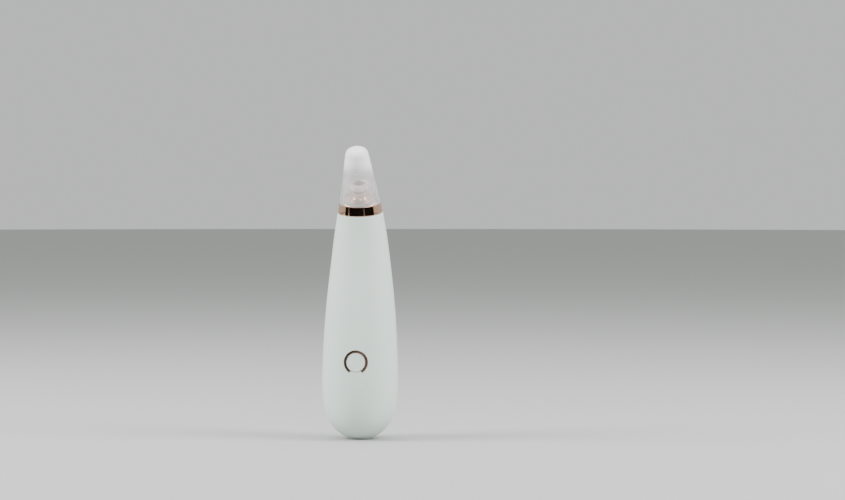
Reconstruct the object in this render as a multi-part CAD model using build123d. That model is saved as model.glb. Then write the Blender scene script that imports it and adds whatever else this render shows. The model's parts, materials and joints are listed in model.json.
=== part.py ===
"""Handheld pore vacuum: a teardrop casing in two shells, a tilted suction head under a clear cap,
and inside them a board, a cell, a charging socket and a three-chamber diaphragm pump.

Frame: +Z up, origin at the centre of the flat foot, -Y the front, where the button is. Millimetres.
"""

import math
import os

from build123d import *

# ---- driving dimensions ----------------------------------------------------------------------
# casing
foot_radius = 6.0
pad_radius, pad_thickness = 6.2, 1.3
pad_bevel = 0.2
wall = 2.0
belly_height = 34.0  # the centre line is vertical up to here
collar_height = 136.2  # centre of the casing's top edge
collar_tilt = 12.5  # degrees forward
neck_radius = 11.4
neck_bore = 9.9
neck_length = 3.6
neck_root = 1.5
shoulder_radius = 13.0
lower_profile = [  # radius and height, from the foot to the belly
    (foot_radius, 0),
    (10.6, 2.3),
    (14.3, 5.2),
    (17.8, 9.2),
    (20.6, 15.2),
    (22.1, 22.8),
    (22.8, belly_height),
]
upper_profile = [  # radius and distance above the belly along the centre line
    (22.8, 0),
    (22.3, 20.0),
    (20.35, 49.0),
    (17.7, 73.0),
    (14.95, 94.0),
    (13.6, 102.4),
]
section_count = 9
lip_bottom = 24.0
lip_height = 1.2
lip_gap = 0.05
pilot_radius = 0.85
port_width, port_height, port_corner = 8.6, 3.5, 1.4
vent_height = 101.0
vent_radius, vent_ring, vent_count = 0.65, 3.0, 6
# collar and head
collar_length = 5.6
collar_bottom_radius = 13.5
collar_top_radius = 12.45
collar_bore = 11.45
head_tilt = 27.5
seat_height = 2.8  # the probe's seat above the collar's top centre, along the head's axis
cap_radius = 12.3
cap_taper = 0.165
cap_length = 36.3
cap_wall = 1.0
cap_rounding = 4.0
cap_gap = 0.12
gasket_thickness = 0.5
step_radius = 8.6
seal_inner, seal_outer = 8.25, 9.15
seal_low, seal_high = 0.1, 0.8
spigot_radius = 4.7
spigot_length = 5.4
spigot_foot = 6.2
step_height = 0.9
spigot_plug, spigot_plug_depth = 3.5, 2.0
bore_radius = 1.2
sponge_radius = 2.0
mouth_radius = 3.35
tip_radius = 5.3
tip_length = 10.9
bell_radius = 10.5
bell_shoulder = 7.0
probe_neck_outer, probe_neck_inner = 4.3, 3.6
lip_rounding = 0.75
# button
button_height = 47.3
button_radius = 5.65
bezel_radius = 7.25
bezel_bore = 5.85
bezel_gap = 32.0  # half of the opening at the bottom of the bezel, in degrees
bezel_proud = 0.15
rebate_depth = 1.2
# button and switch, by distance forward of the centre line
flange_radius, flange_back, flange_front = 6.6, 18.1, 18.9
nub_radius, nub_back = 2.0, 17.75
switch_half, switch_front = 3.0, 16.9
plunger_radius, plunger_back, plunger_front = 1.7, 15.9, 17.7
# boards, by distance forward of the centre line
board_front = 13.4
board_back = 12.2
board_half_width = 9.0
board_bottom, board_top = 22.0, 74.0
board_screws = [(x, z) for z in (26.0, 70.0) for x in (-6.6, 6.6)]
chassis_front = 9.6
chassis_back = 8.4
chassis_screws = [(-5.5, 79.0), (5.5, 79.0), (0.0, 18.6)]
charge_board_top = 18.0
board_thickness = 1.0
socket_lift = 1.3
charge_screws = [(-4.4, 9.5), (4.4, 9.5)]
socket_mouth = 20.4
# cell
cell_radius = 7.1
cell_back = 5.5
cell_bottom, cell_top = 24.0, 74.0
# pump and motor, on one vertical axis
pump_back = 2.8
motor_radius = 8.0
motor_bottom, motor_top = 79.0, 99.5
motor_wall = 0.7
shaft_radius, shaft_hole = 0.75, 0.76
bush_radius = 2.25
pump_half_width = 9.5
crankcase_top = 112.0
pivot_height = 111.5
chamber_radius = 5.4  # distance of each chamber from the pump's axis
hose_outer, hose_inner, hose_bend = 3.0, 1.95, 5.0
wire_radius, wire_bend = 0.55, 1.4

UPWARD = (Align.CENTER, Align.CENTER, Align.MIN)
nodes = {}


# ---- small helpers ---------------------------------------------------------------------------
def rod(radius, low, high):
    return Pos(0, 0, low) * Cylinder(radius, high - low, align=UPWARD)


def tube(outer, inner, low, high):
    return rod(outer, low, high) - rod(inner, low, high)


def block(x, y, z):
    """A box from its spans along X, Y and Z."""
    middle = [(a + b) / 2 for a, b in (x, y, z)]
    return Pos(*middle) * Box(*[b - a for a, b in (x, y, z)])


def both_sides(half):
    return (-half, half)


def turned(outline):
    """A closed outline of radius and height, turned about Z."""
    points = [(radius, 0, height) for radius, height in outline]
    return revolve(make_face(Polyline(*points, close=True)), Axis.Z)


def around(shape, count, start=0.0):
    return [Rot(0, 0, start + 360 * k / count) * shape for k in range(count)]


def group(shapes, frame=None):
    """Separate solids in one node."""
    return Compound(children=[frame * shape if frame else shape for shape in shapes])


def joined(shapes):
    total = shapes[0]
    for shape in shapes[1:]:
        total = total + shape
    return total


def cable(points, radius, bend):
    """A round wire along a route with rounded corners."""
    route = FilletPolyline(*points, radius=bend)
    start = Plane(origin=route @ 0, z_dir=route % 0)
    return sweep(start * Circle(radius), path=route)


def screw(head_radius, head_height, shank_radius, shank_length):
    """A pan-head screw whose head sits on Z = 0 and whose shank points down, with a cross recess."""
    head = rod(head_radius, 0, head_height)
    head = fillet(head.edges().sort_by(Axis.Z)[-1], head_height * 0.4)
    depth = (head_height * 0.45, head_height)
    slot = block(both_sides(head_radius * 0.6), both_sides(head_radius * 0.14), depth)
    return head - slot - Rot(0, 0, 90) * slot + rod(shank_radius, -shank_length, 0)


# ---- frames ----------------------------------------------------------------------------------
def tilted(degrees):
    angle = math.radians(degrees)
    return Vector(0, -math.sin(angle), math.cos(angle))


collar_axis = tilted(collar_tilt)
head_axis = tilted(head_tilt)
collar_centre = Vector(0, 0.3, collar_height)
head_centre = collar_centre + collar_axis * collar_length
collar_frame = Plane(origin=collar_centre, x_dir=(1, 0, 0), z_dir=collar_axis)
head_frame = Plane(origin=head_centre, x_dir=(1, 0, 0), z_dir=head_axis)
pump_frame = Plane(origin=(0, pump_back, 0))
cell_frame = Plane(origin=(0, cell_back, 0))


def facing(x, z):
    """A frame on the centre plane that faces forward, so that its height is distance forward."""
    return Plane(origin=(x, 0, z), x_dir=(1, 0, 0), z_dir=(0, -1, 0))


button_frame = facing(0, button_height)
neck_curve = Spline(
    (0, 0, belly_height),
    (0, 2.2, 80),
    (0, 3.0, 108),
    tuple(collar_centre),
    tangents=[(0, 0, 1), tuple(collar_axis)],
)
lower_curve = Spline(*lower_profile, tangents=[(0.9, 0.44), (0, 1)])
upper_curve = Spline(*upper_profile, tangents=[(0, 1), (-0.15, 0.99)])


def station(height):
    """The plane across the casing at this distance above the belly along its centre line."""
    along = min(height / neck_curve.length, 1.0)
    return Plane(origin=neck_curve @ along, x_dir=(1, 0, 0), z_dir=neck_curve % along)


def taken_in(curve, along, inset):
    """A point of a profile curve, moved in by this much square to the curve."""
    point, direction = curve @ along, curve % along
    return point.X - inset * direction.Y, point.Y + inset * direction.X


def point_at(curve, height):
    """The point of a rising profile curve at this height, found by halving."""
    low, high = 0.0, 1.0
    for _ in range(30):
        middle = (low + high) / 2
        low, high = (middle, high) if (curve @ middle).Y < height else (low, middle)
    return curve @ low


def radius_at(height):
    """The casing's outer radius at a height, or past the belly at a distance along the centre line."""
    if height < belly_height:
        return point_at(lower_curve, height).X
    return point_at(upper_curve, height - belly_height).X


def half_shell(back):
    """Half of the casing's wall: the bowl below the belly is turned, the rest runs along the centre line."""
    side = 1 if back else -1
    steps = [k / 12 for k in range(13)]
    inner_points = [taken_in(lower_curve, k, wall) for k in steps]
    floor = inner_points[0][1]
    outline = [
        Line((0, 0), (foot_radius, 0)),
        lower_curve,
        Line(lower_curve @ 1, inner_points[-1]),
        Spline(*reversed(inner_points)),
        Polyline(inner_points[0], (0, floor), (0, 0)),
    ]
    bowl = revolve(Plane.XZ * make_face(outline), Axis.Z, revolution_arc=180)  # this is the back half
    if not back:
        bowl = Rot(0, 0, 180) * bowl
    sections = []
    for k in range(section_count + 1):
        point = upper_curve @ (k / section_count)
        outer, inner = point.X, point.X - wall
        ring = [
            ThreePointArc((outer, 0), (0, side * outer), (-outer, 0)),
            Line((-outer, 0), (-inner, 0)),
            ThreePointArc((-inner, 0), (0, side * inner), (inner, 0)),
            Line((inner, 0), (outer, 0)),
        ]
        sections.append(station(point.Y) * make_face(ring))
    reach = (0, 60) if back else (-60, 0)
    collar_half = block(both_sides(30), reach, (-10, 20))
    shoulder = tube(shoulder_radius, neck_bore, -neck_root, 0)
    neck = tube(neck_radius, neck_bore, -neck_root, neck_length) + shoulder
    return bowl + loft(sections) + collar_frame * (neck & collar_half)


def local_form(inset):
    """The casing's outer form round the button, taken in by this much."""
    sections = []
    for height in (2, 8, 14, 20, 26):
        radius = radius_at(belly_height + height)
        sections.append(station(height) * Rot(0, 0, 90) * Circle(radius - inset))
    return loft(sections)


def seam_strips(depth_in, depth_out, top):
    """Two strips along the seam, between these depths under the surface and up to this far behind it."""
    strips = []
    for side in (-1, 1):
        sections = []
        for height in (lip_bottom, 29, 34, 45, 60, 80, 100, 118, 132):
            radius = radius_at(height)
            x = side * (radius - (depth_in + depth_out) / 2)
            plane = station(height - belly_height) if height > belly_height else Plane(origin=(0, 0, height))
            sections.append(plane * Pos(x, top / 2 - 0.25) * Rectangle(depth_in - depth_out, top + 0.5))
        strips.append(loft(sections))
    return strips


# ---- casing ----------------------------------------------------------------------------------
def boss(x, z, far, radius, centre_shift=0.0):
    """A screw boss from the front wall back to this distance forward of the centre line."""
    reach = math.sqrt(radius_at(z) ** 2 - (abs(x) + radius) ** 2) - centre_shift - 0.75
    return facing(x, z) * rod(radius, far, reach)


def casing():
    pad = rod(pad_radius, 0, pad_thickness)
    nodes["foot_pad"] = chamfer(pad.edges().sort_by(Axis.Z)[0], pad_bevel)
    recess = rod(pad_radius + 0.03, -1, pad_thickness)
    front_shell, rear_shell = half_shell(False) - recess, half_shell(True) - recess
    for strip in seam_strips(wall - 0.02, wall / 2 + lip_gap, lip_height):
        front_shell = front_shell + strip
    for strip in seam_strips(wall + 0.3, wall / 2, lip_height + lip_gap):
        rear_shell = rear_shell - strip

    # front shell: button hole, bezel rebate and the board's and chassis' bosses
    surface, rebate_floor = local_form(-bezel_proud), local_form(rebate_depth)
    gap = button_frame * bezel_wedge()
    front_shell = front_shell - button_frame * rod(bezel_bore, 12, 30)
    rebate = button_frame * tube(bezel_radius, bezel_bore - 0.2, 16, 30)
    front_shell = front_shell - (rebate - rebate_floor - gap)
    for x, z in board_screws:
        front_shell = front_shell + boss(x, z, board_front, 2.2, 1.2)
        front_shell = front_shell - facing(x, z) * rod(pilot_radius, board_front - 1, board_front + 5.5)
    for x, z in chassis_screws:
        front_shell = front_shell + boss(x, z, chassis_front, 2.0, 2.0 if z > belly_height else 0)
        front_shell = front_shell - facing(x, z) * rod(pilot_radius, chassis_front - 1, chassis_front + 6)
    nodes["front_shell"] = front_shell
    ring = button_frame * tube(bezel_radius - 0.03, bezel_bore, 16, 30)
    nodes["button_bezel"] = (ring & surface) - local_form(rebate_depth - lip_gap) - gap

    # rear shell: charging port, vents and the charging board's bosses
    for x, y in charge_screws:
        rear_shell = rear_shell + Pos(x, y, 0) * rod(1.7, 4.6, charge_board_top - board_thickness)
        rear_shell = rear_shell - Pos(x, y, 0) * rod(0.75, charge_board_top - 7, charge_board_top)
    port = extrude(RectangleRounded(port_width, port_height, port_corner), 40)
    rear_shell = rear_shell - Pos(0, 0, charge_board_top + socket_lift) * Rot(-90, 0, 0) * port
    vent = rod(vent_radius, 8, 40)
    backward = Pos(0, 0, vent_height) * Rot(-90, 0, 0)
    for hole in [vent] + around(Pos(vent_ring, 0, 0) * vent, vent_count):
        rear_shell = rear_shell - backward * hole
    nodes["rear_shell"] = rear_shell


def bezel_wedge():
    """The sector left open below the button, in the button's frame."""
    reach = 14.0
    side = reach * math.tan(math.radians(bezel_gap))
    corner = Polyline((0, 0), (-side, -reach), (side, -reach), close=True)
    return extrude(make_face(corner), 30)


# ---- collar and head -------------------------------------------------------------------------
def collar():
    bevel = 0.25
    nodes["collar_ring"] = collar_frame * turned(
        [
            (collar_bore, 0.02),
            (collar_bottom_radius - bevel, 0.02),
            (collar_bottom_radius, 0.02 + bevel),
            (collar_top_radius, collar_length - bevel),
            (collar_top_radius - bevel, collar_length),
            (collar_bore, collar_length),
        ]
    )
    gasket = tube(neck_radius, neck_bore + 0.05, neck_length, neck_length + gasket_thickness)
    nodes["head_gasket"] = collar_frame * gasket


def cone_about_head(base_radius, low, high):
    return turned(
        [
            (0, low),
            (base_radius - cap_taper * low, low),
            (base_radius - cap_taper * high, high),
            (0, high),
        ]
    )


def above_collar(gap):
    """A large block over the collar's top edge, this far clear of it."""
    return collar_frame * Pos(0, 0, collar_length + gap) * Box(90, 90, 90, align=UPWARD)


def head_base():
    """The plated seat: a plug in the neck, a wedge-shaped boss for the cap, and the probe's spigot."""
    flange = neck_length + gasket_thickness
    plug = rod(neck_bore - 0.1, -neck_root, flange) + rod(collar_bore - 0.05, flange, collar_length)
    plug = collar_frame * (plug - rod(8.2, -2, 3.2))
    barb = collar_frame * turned(
        [
            (0, 3.2),
            (0, -6.0),
            (1.5, -6.0),
            (1.9, -5.0),
            (1.6, -4.9),
            (1.9, -3.4),
            (1.6, -3.3),
            (1.9, -2),
            (2.4, 3.2),
        ]
    )
    boss = (head_frame * cone_about_head(cap_radius - cap_wall - cap_gap, -4, seat_height)) & above_collar(0)
    seat = head_frame * Pos(0, 0, seat_height)
    groove = tube(step_radius + 0.9, seal_inner, seal_low, seal_high)
    socket = rod(spigot_plug, -spigot_plug_depth, step_height)
    step = rod(step_radius, 0, step_height) - groove - socket
    base = plug + barb + boss + seat * step - seat * socket
    base = base - collar_frame * rod(bore_radius, -8, collar_length - 1)
    nodes["head_base"] = base - head_frame * rod(bore_radius, -2, 2)
    nodes["probe_seal"] = seat * tube(seal_outer, seal_inner, seal_low, seal_high)

    flare = step_height
    outline = [
        (0, -spigot_plug_depth),
        (spigot_plug, -spigot_plug_depth),
        (spigot_plug, flare),
        (spigot_foot, flare),
        (spigot_foot, flare + 0.3),
        (5.0, flare + 0.8),
        (spigot_radius - 0.4, flare + 1.7),
        (spigot_radius, flare + 2.0),
        (spigot_radius, flare + 2.6),
        (spigot_radius - 0.5, flare + 2.8),
        (spigot_radius - 0.5, flare + 3.3),
        (spigot_radius, flare + 3.5),
        (spigot_radius, spigot_length - 0.4),
        (spigot_radius - 0.4, spigot_length),
        (0, spigot_length),
    ]
    recess = rod(sponge_radius + 0.05, spigot_length - 2.0, spigot_length + 1)
    nodes["spigot"] = seat * (turned(outline) - rod(bore_radius, -3, spigot_length) - recess)
    nodes["filter_sponge"] = seat * rod(sponge_radius, spigot_length - 1.95, spigot_length - 0.1)


def probe():
    seat = head_frame * Pos(0, 0, seat_height + 0.02)
    neck_outer, neck_inner = probe_neck_outer, probe_neck_inner
    ledge = tip_length - 1
    outside = [
        Line((bell_radius, 0, 0), (bell_radius, 0, 0.7)),
        ThreePointArc((bell_radius, 0, 0.7), (8.2, 0, 3.95), (tip_radius, 0, bell_shoulder)),
        Polyline((tip_radius, 0, bell_shoulder), (neck_outer, 0, bell_shoulder), (neck_outer, 0, ledge)),
        Line((neck_outer, 0, ledge), (neck_inner, 0, ledge)),
    ]
    inside = [
        Line((neck_inner, 0, ledge), (neck_inner, 0, 6.8)),
        ThreePointArc((neck_inner, 0, 6.8), (5.6, 0, 5.5), (7.6, 0, 3.0)),
        Polyline((7.6, 0, 3.0), (9.2, 0, 1.6), (9.2, 0, 0), (bell_radius, 0, 0)),
    ]
    nodes["probe_bell"] = seat * revolve(make_face(outside + inside), Axis.Z)
    lip = tube(tip_radius, neck_outer, bell_shoulder, ledge)
    lip = lip + tube(tip_radius, mouth_radius, ledge, tip_length)
    top = lip.edges().filter_by(GeomType.CIRCLE).group_by(Axis.Z)[-1]
    nodes["probe_lip"] = seat * fillet(top, lip_rounding)


def cap():
    outer = cone_about_head(cap_radius, -4, cap_length)
    outer = fillet(outer.edges().sort_by(Axis.Z)[-1], cap_rounding)
    inner = cone_about_head(cap_radius - cap_wall, -5, cap_length - 1.3)
    inner = fillet(inner.edges().sort_by(Axis.Z)[-1], cap_rounding - cap_wall)
    nodes["dust_cap"] = (head_frame * (outer - inner)) & above_collar(0.08)


# ---- button and switch -----------------------------------------------------------------------
def button():
    dome = (button_frame * rod(button_radius, flange_front, 30)) & local_form(0.06)
    flange = rod(flange_radius, flange_back, flange_front)
    nodes["button_cap"] = dome + button_frame * (flange + rod(nub_radius, nub_back, flange_back))
    body = block(both_sides(switch_half), both_sides(switch_half), (board_front, switch_front))
    body = body - rod(plunger_radius + 0.15, plunger_back - 0.55, switch_front + 0.1)
    for x in (-3.35, 3.35):
        for y in (-2.2, 2.2):
            body = body + block((x - 0.35, x + 0.35), (y - 0.25, y + 0.25), (board_front, board_front + 0.3))
    nodes["tact_switch"] = button_frame * body
    nodes["switch_plunger"] = button_frame * rod(plunger_radius, plunger_back, plunger_front)


# ---- boards ----------------------------------------------------------------------------------
def boards():
    board = block(both_sides(board_half_width), (-board_front, -board_back), (board_bottom, board_top))
    for x, z in board_screws:
        board = board - facing(x, z) * rod(1.1, 10, 15)
    nodes["main_board"] = board

    chip_sizes = [  # x, z, width, height, thickness
        (0, 36, 5, 6, 1.3),
        (-3.5, 46, 4, 4, 1.2),
        (4, 46, 4.4, 4.4, 1.9),
        (-4, 55, 3, 1.6, 1.0),
        (0.5, 55, 3, 1.6, 1.0),
        (5, 55, 2, 3.2, 1.1),
        (-2.5, 61, 1.6, 3, 0.9),
        (2.5, 61, 1.6, 3, 0.9),
    ]
    chips = []
    for x, z, width, height, depth in chip_sizes:
        across, up = (x - width / 2, x + width / 2), (z - height / 2, z + height / 2)
        chips.append(block(across, (-board_back, depth - board_back), up))
    nodes["board_chips"] = group(chips)
    led_span = (button_height - 4.8, button_height - 4.0)
    leds = [block((x - 0.8, x + 0.8), (-board_front - 0.7, -board_front), led_span) for x in (-3.0, 0.0, 3.0)]
    nodes["indicator_leds"] = group(leds)
    board_screw = Rot(-90, 0, 0) * screw(1.7, 1.0, 0.8, 5.5)
    nodes["board_screws"] = group([Pos(x, -board_back, z) * board_screw for x, z in board_screws])

    low = charge_board_top - board_thickness
    board = block(both_sides(6.5), (7.0, 17.6), (low, charge_board_top))
    for x, y in charge_screws:
        board = board - Pos(x, y, 0) * rod(0.95, low - 1, charge_board_top + 1)
    nodes["charge_board"] = board
    charge_screw = screw(1.6, 1.0, 0.7, 5.5)
    nodes["charge_screws"] = group([Pos(x, y, charge_board_top) * charge_screw for x, y in charge_screws])
    charge_socket()


def charge_socket():
    """A small metal socket shell with its tongue, lying on the charging board and facing back."""
    profile_outer = RectangleRounded(7.5, 2.6, 0.9)
    profile_inner = RectangleRounded(6.9, 2.0, 0.7)
    length = 5.6
    shell = extrude(profile_outer, length) - Pos(0, 0, 1.2) * extrude(profile_inner, length)
    tongue = block(both_sides(2.1), (0.05, 0.65), (1.2, length - 0.9))
    place = Pos(0, socket_mouth - length, charge_board_top + socket_lift) * Rot(-90, 0, 0)
    nodes["charge_socket"] = place * shell
    nodes["socket_tongue"] = place * tongue


# ---- cell and chassis ------------------------------------------------------------------------
def cell():
    body = rod(cell_radius, cell_bottom, cell_top - 1.0)
    body = fillet(body.edges().filter_by(GeomType.CIRCLE), 0.5)
    nodes["battery_cell"] = cell_frame * body
    nodes["cell_terminal"] = cell_frame * rod(2.7, cell_top - 1.0, cell_top - 0.1)


def chassis():
    plate = block(both_sides(8.5), (-chassis_front, -chassis_back), (16.0, 99.0))
    for z in (cell_bottom - 1.4, cell_top + 0.2):
        plate = plate + block(both_sides(8.5), (-chassis_back, cell_back), (z, z + 1.2))
    for side in (-1, 1):
        x = sorted((side * 7.5, side * 8.5))
        plate = plate + block(x, (-chassis_back, 3.0), (cell_bottom - 1.4, cell_top + 1.4))
    cradle = pump_frame * joined([tube(11.6, 10.35, z, z + 3) for z in (83.0, 92.5)])
    plate = plate + (cradle & block(both_sides(20), (-20, pump_back), (70, 110)))
    wire_slot = block(both_sides(3.4), (-12, -5), (cell_top - 1.5, cell_top + 3.3))
    plate = plate - wire_slot
    for x, z in chassis_screws:
        plate = plate - facing(x, z) * rod(1.1, 5, 12)
    nodes["chassis"] = plate
    chassis_screw = Rot(-90, 0, 0) * screw(1.8, 1.1, 0.8, 6.0)
    nodes["chassis_screws"] = group([Pos(x, -chassis_back, z) * chassis_screw for x, z in chassis_screws])


# ---- motor -----------------------------------------------------------------------------------
def motor():
    inside = motor_radius - motor_wall
    can = tube(motor_radius, inside, motor_bottom, motor_top)
    can = can + tube(inside, bush_radius, motor_top - 0.9, motor_top)
    nodes["motor_can"] = pump_frame * (can + tube(3.0, bush_radius, motor_top, motor_top + 1.0))
    end_cap = rod(inside - 0.05, motor_bottom - 0.2, motor_bottom + 1.6)
    end_cap = end_cap + rod(3.4, motor_bottom - 1.6, motor_bottom)
    end_cap = end_cap - rod(bush_radius, motor_bottom - 1.2, motor_bottom + 3) - rod(1.0, 70, 90)
    nodes["motor_end_cap"] = pump_frame * end_cap
    terminal = block((5.2, 5.7), both_sides(1.0), (motor_bottom - 2.2, motor_bottom - 0.2))
    nodes["motor_terminals"] = group(around(terminal, 2), pump_frame)
    spans = [(motor_top - 0.9, motor_top + 0.95), (motor_bottom - 1.2, motor_bottom + 0.8)]
    nodes["motor_bushes"] = group([tube(2.2, 0.8, low, high) for low, high in spans], pump_frame)
    arc = tube(7.25, 5.75, motor_bottom + 3.2, motor_top - 3.5) & block((-10, 10), (1.6, 10), (70, 110))
    nodes["motor_magnets"] = group(around(arc, 2), pump_frame)
    brush = block((2.12, 2.5), both_sides(0.8), (motor_bottom + 1.6, motor_bottom + 3.0))
    nodes["motor_brushes"] = group(around(brush, 2), pump_frame)


def rotor():
    low, high = motor_bottom + 4.8, motor_top - 5.0
    nodes["motor_shaft"] = pump_frame * rod(shaft_radius, motor_bottom - 1.5, motor_top + 4.9)
    tooth = tube(5.25, 4.3, low, high) & block((-2.9, 2.9), (0, 6), (low, high))
    web = block((-0.9, 0.9), (0.5, 4.5), (low, high))
    stack = joined([rod(2.2, low, high)] + around(tooth + web, 3))
    nodes["rotor_stack"] = pump_frame * (stack - rod(shaft_hole, low - 1, high + 1))
    coil = block((-2.2, 2.2), (2.3, 3.6), (low - 1.0, high + 1.0))
    coil = coil - block((-0.95, 0.95), (2, 5), (low - 0.05, high + 0.05))
    nodes["rotor_coils"] = group(around(coil, 3), pump_frame)
    bars = tube(2.05, shaft_hole, motor_bottom + 1.2, low - 1.1)
    cut = block((0.9, 3), both_sides(0.12), (motor_bottom + 1.7, low))
    nodes["commutator"] = pump_frame * (bars - joined(around(cut, 3)))
    # the crank wheel carries a leaning pin that points at the swing frame's pivot
    wheel = rod(4.2, motor_top + 2.1, motor_top + 5.3) - rod(shaft_hole, motor_top + 1, motor_top + 5.0)
    wheel = wheel - (rod(5, motor_top + 3.7, motor_top + 6) & block((-6, 6), (2.0, 6), (90, 110)))
    pin_foot = Vector(0, 0.45, motor_top + 3.9)
    pin_top = Vector(0, 0, pivot_height)
    lean = Plane(origin=pin_foot, z_dir=pin_top - pin_foot)
    pin_length = (pin_top - pin_foot).length - 1.6
    socket = lean * rod(0.62, 0.9, pin_length)
    nodes["crank_wheel"] = pump_frame * (wheel - socket)
    nodes["crank_pin"] = pump_frame * (lean * rod(0.6, 1.2, pin_length))


# ---- pump ------------------------------------------------------------------------------------
chambers = [Rot(0, 0, 120 * k) * Pos(0, chamber_radius, 0) for k in range(3)]


def pump_slab(low, high):
    """A stretch of the pump head's rounded square."""
    side = 2 * pump_half_width
    return Pos(0, 0, low) * extrude(RectangleRounded(side, side, 2.6), high - low)


def pump():
    corner = pump_half_width - 1.9
    corners = [(x, y) for x in (-corner, corner) for y in (-corner, corner)]
    base = motor_top + 0.05
    case = pump_slab(base, crankcase_top) - rod(8.6, base + 1.4, crankcase_top + 1) - rod(3.05, 90, 110)
    cover_low, cover_high = crankcase_top + 3.4, crankcase_top + 6.8
    seat_low, seat_high = crankcase_top + 1.0, cover_low
    seat = pump_slab(seat_low, seat_high)
    sheet = pump_slab(crankcase_top, seat_low)
    cover = pump_slab(cover_low, cover_high)
    cover = cover - tube(7.2, 3.4, cover_low, cover_low + 1.6) - rod(2.6, cover_low, cover_low + 1.6)
    for place in chambers:
        cup = rod(2.6, crankcase_top - 0.6, seat_low) - rod(2.0, crankcase_top - 0.1, seat_low + 0.01)
        sheet = sheet - place * rod(2.0, crankcase_top - 0.1, seat_low + 1) + place * cup
        sheet = sheet + place * rod(0.65, crankcase_top - 2.9, crankcase_top - 0.6)
        seat = seat - place * rod(1.9, seat_low, seat_low + 1.0)
        seat = seat - place * Pos(0, -0.9, 0) * rod(0.45, seat_low, seat_high)
        seat = seat - place * Pos(0, 0.8, 0) * rod(0.45, seat_low, seat_high)
    for x, y in corners:
        hole = Pos(x, y, 0) * rod(0.85, motor_top + 2.5, cover_high + 2)
        case, seat, sheet, cover = case - hole, seat - hole, sheet - hole, cover - hole
    barb_top = cover_high + 5.2
    barb = turned(
        [
            (0, cover_high - 0.2),
            (2.3, cover_high - 0.2),
            (1.9, cover_high + 1.0),
            (1.6, cover_high + 2.2),
            (1.9, cover_high + 2.3),
            (1.6, cover_high + 3.7),
            (1.9, cover_high + 3.8),
            (1.45, barb_top),
            (0, barb_top),
        ]
    )
    cover = cover + barb - rod(bore_radius - 0.1, cover_low + 1, barb_top + 1)
    outlet = Pos(0, 5.3, cover_low + 0.8) * Rot(-90, 0, 0) * rod(0.7, 0, 6)
    nodes["crankcase"] = pump_frame * case
    nodes["pump_diaphragm"] = pump_frame * sheet
    nodes["valve_seat"] = pump_frame * seat
    nodes["pump_cover"] = pump_frame * (cover - outlet)
    flap = rod(1.5, cover_low + 0.02, cover_low + 0.35) - rod(0.3, cover_low, cover_low + 1)
    nodes["valve_flaps"] = group(around(Pos(0, 5.3, 0) * flap, 3), pump_frame)
    long_screw = screw(1.35, 0.9, 0.8, cover_high - motor_top - 3.2)
    nodes["pump_screws"] = group([Pos(x, y, cover_high) * long_screw for x, y in corners], pump_frame)
    nodes["pump_sleeve"] = pump_frame * tube(10.3, motor_radius + 0.03, motor_bottom + 2.5, motor_top - 2.5)


def swing_frame():
    """Three arms on a hub whose cone clears the leaning pin all the way round."""
    top = crankcase_top - 1.1
    low = motor_top + 7.2
    hub = rod(2.7, low, top)
    arm = block((-1.5, 1.5), (0, chamber_radius), (top - 1.3, top))
    arm = arm + Pos(0, chamber_radius, 0) * rod(1.9, top - 1.3, top)
    frame = joined([hub] + around(arm, 3))
    for place in chambers:
        frame = frame - place * rod(0.85, low, top + 1)
    roof = pivot_height - 1.4
    clearance = turned([(0, low - 0.1), (1.95, low - 0.1), (1.25, roof), (0, roof)])
    nodes["swing_frame"] = pump_frame * (frame - clearance)


# ---- hose and wiring -------------------------------------------------------------------------
def hose():
    start = Vector(0, pump_back, crankcase_top + 8.0)
    bend_low = Vector(0, pump_back, crankcase_top + 13.2)
    bend_high = collar_centre - collar_axis * 5.2
    end = collar_centre - collar_axis * 1.4
    points = [tuple(p) for p in (start, bend_low, bend_high, end)]
    nodes["air_hose"] = cable(points, hose_outer, hose_bend) - cable(points, hose_inner, hose_bend)


def wiring():
    plate = cell_top + 1.6
    for name, side in (("cell_lead_red", 1), ("cell_lead_black", -1)):
        x = side * 1.3
        route = [
            (x, 0.0, plate + 0.8),
            (x, -6.0, plate + 0.8),
            (x, -11.0, plate - 1.2),
            (x, -11.3, plate - 7.0),
        ]
        nodes[name] = cable(route, wire_radius, wire_bend)
    for name, side in (("motor_lead_red", 1), ("motor_lead_black", -1)):
        x = side * 6.6
        route = [
            (x, pump_back, motor_bottom - 1.2),
            (x, -5.6, motor_bottom - 1.2),
            (side * 9.4, -8.0, motor_bottom - 3.2),
            (side * 9.4, -11.4, motor_bottom - 8.0),
            (side * 7.6, -11.4, motor_bottom - 14.0),
        ]
        nodes[name] = cable(route, wire_radius, wire_bend)
    leads = []
    for x in (3.1, 4.3):
        route = [
            (x, 7.3, charge_board_top + 0.7),
            (x, -2.0, charge_board_top + 0.7),
            (x, -7.0, 14.6),
            (x, -10.9, 14.6),
            (x, -11.4, 25.0),
        ]
        leads.append(cable(route, wire_radius, wire_bend))
    nodes["charge_leads"] = group(leads)


makers = [casing, collar, head_base, probe, cap, button, boards, cell, chassis]
makers += [motor, rotor, pump, swing_frame, hose, wiring]
for make in makers:
    make()

os.makedirs("parts", exist_ok=True)
for node, shape in nodes.items():
    export_step(shape, f"parts/{node}.step")
print(len(nodes), "nodes written")
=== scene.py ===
import json
import math

import bmesh
import bpy
import numpy as np
from mathutils import Matrix, Vector


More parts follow.
